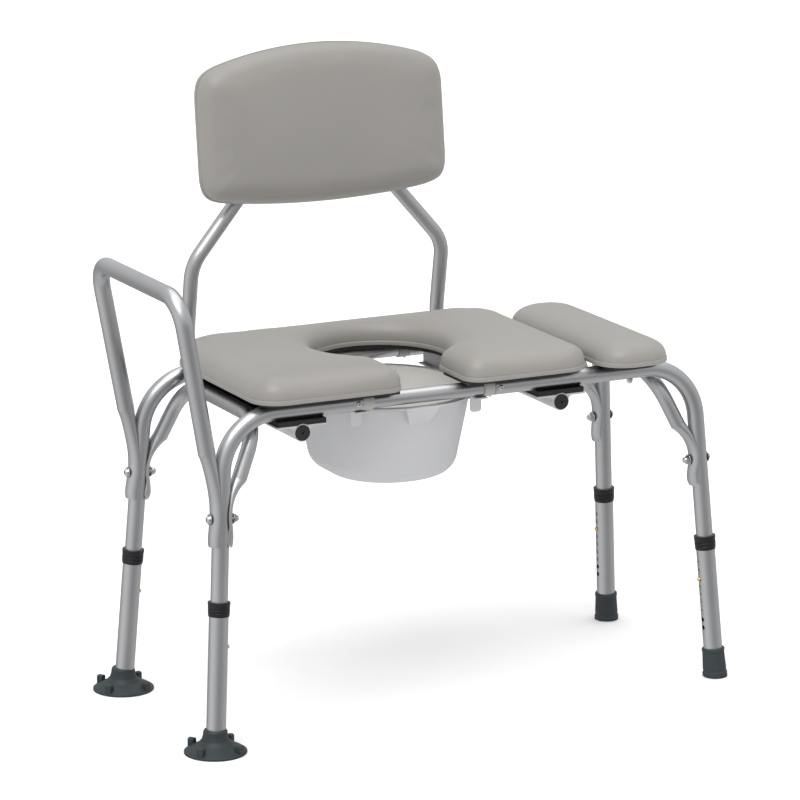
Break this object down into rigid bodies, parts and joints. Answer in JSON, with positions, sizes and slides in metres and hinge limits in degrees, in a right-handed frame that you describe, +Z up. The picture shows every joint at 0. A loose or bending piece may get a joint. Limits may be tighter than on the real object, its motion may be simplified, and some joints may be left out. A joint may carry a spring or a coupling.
{
  "type": "commode transfer bench",
  "caption": "Padded transfer bench with an open-front commode seat, slide-out pail, arm rail, removable backrest and height-adjustable legs.",
  "frame": {"origin": "middle of the outer box, on the floor", "axes": "+X runs along the bench away from the arm rail, +Y to the rear where the backrest is, +Z up"},
  "size_m": [0.9034, 0.4872, 0.9559],
  "materials": {
    "aluminium": "satin anodised tube",
    "extrusion": "brushed extrusion",
    "steel": "bright plated",
    "brass": "polished",
    "vinyl": "soft moulded skin, fine grain, satin",
    "board": "matt",
    "back_board": "matt",
    "pail": "satin, slightly translucent",
    "rubber": "matt",
    "collar": "matt",
    "sleeve": "satin",
    "black_rubber": "matt",
    "sheet": "satin"
  },
  "bodies": {
    "frame": {"front_crossbar": "aluminium", "front_rail_left": "aluminium", "front_rail_right": "aluminium", "rear_crossbar": "aluminium", "rear_rail_left": "aluminium", "rear_rail_right": "aluminium", "left_hoop": "aluminium", "right_hoop": "aluminium", "arm_rail": "aluminium", "splice_bolts": "steel", "splice_washers": "steel", "splice_nuts": "steel", "board_screws": "steel", "board_nuts": "steel", "rail_sleeves": "sleeve", "rail_rivets": "steel", "seat_pad": "vinyl", "side_pad": "vinyl", "seat_board": "board", "side_board": "board", "seat_brace_left": "extrusion", "brace_pad_left": "black_rubber", "pail_runner_left": "sheet", "seat_brace_right": "extrusion", "brace_pad_right": "black_rubber", "pail_runner_right": "sheet", "brace_plugs": "black_rubber", "pail_hooks": "sheet"},
    "backrest": {"backrest_tube": "aluminium", "backrest_board": "back_board", "backrest_pad": "vinyl", "backrest_screws": "steel"},
    "pail": {"pail": "pail"},
    "leg_front_left": {"lower_leg_front_left": "aluminium", "leg_collar_front_left": "collar", "suction_cup_front_left": "rubber"},
    "button_front_left": {"snap_button_front_left": "brass"},
    "leg_front_right": {"lower_leg_front_right": "aluminium", "leg_collar_front_right": "collar", "rubber_tip_front_right": "rubber"},
    "button_front_right": {"snap_button_front_right": "brass"},
    "leg_rear_left": {"lower_leg_rear_left": "aluminium", "leg_collar_rear_left": "collar", "suction_cup_rear_left": "rubber"},
    "button_rear_left": {"snap_button_rear_left": "brass"},
    "leg_rear_right": {"lower_leg_rear_right": "aluminium", "leg_collar_rear_right": "collar", "rubber_tip_rear_right": "rubber"},
    "button_rear_right": {"snap_button_rear_right": "brass"}
  },
  "joints": [
    {"name": "backrest_slide", "type": "slide", "parent": "frame", "child": "backrest", "axis": [0, 1, 0], "range_m": [0, 0.18]},
    {"name": "pail_slide", "type": "slide", "parent": "frame", "child": "pail", "axis": [0, 1, 0], "range_m": [0, 0.26]},
    {"name": "leg_slide_front_left", "type": "slide", "parent": "frame", "child": "leg_front_left", "axis": [0.0647, 0.0608, 0.9961], "range_m": [-0.0254, 0.0508]},
    {"name": "button_press_front_left", "type": "slide", "parent": "frame", "child": "button_front_left", "axis": [-0.9979, 0.0039, 0.0646], "range_m": [0, 0.006], "stiffness_N_per_m": 600, "springref_m": -0.004},
    {"name": "leg_slide_front_right", "type": "slide", "parent": "frame", "child": "leg_front_right", "axis": [-0.0647, 0.0608, 0.9961], "range_m": [-0.0254, 0.0508]},
    {"name": "button_press_front_right", "type": "slide", "parent": "frame", "child": "button_front_right", "axis": [0.9979, 0.0039, 0.0646], "range_m": [0, 0.006], "stiffness_N_per_m": 600, "springref_m": -0.004},
    {"name": "leg_slide_rear_left", "type": "slide", "parent": "frame", "child": "leg_rear_left", "axis": [0.0647, -0.0608, 0.9961], "range_m": [-0.0254, 0.0508]},
    {"name": "button_press_rear_left", "type": "slide", "parent": "frame", "child": "button_rear_left", "axis": [-0.9979, -0.0039, 0.0646], "range_m": [0, 0.006], "stiffness_N_per_m": 600, "springref_m": -0.004},
    {"name": "leg_slide_rear_right", "type": "slide", "parent": "frame", "child": "leg_rear_right", "axis": [-0.0647, -0.0608, 0.9961], "range_m": [-0.0254, 0.0508]},
    {"name": "button_press_rear_right", "type": "slide", "parent": "frame", "child": "button_rear_right", "axis": [0.9979, -0.0039, 0.0646], "range_m": [0, 0.006], "stiffness_N_per_m": 600, "springref_m": -0.004}
  ]
}
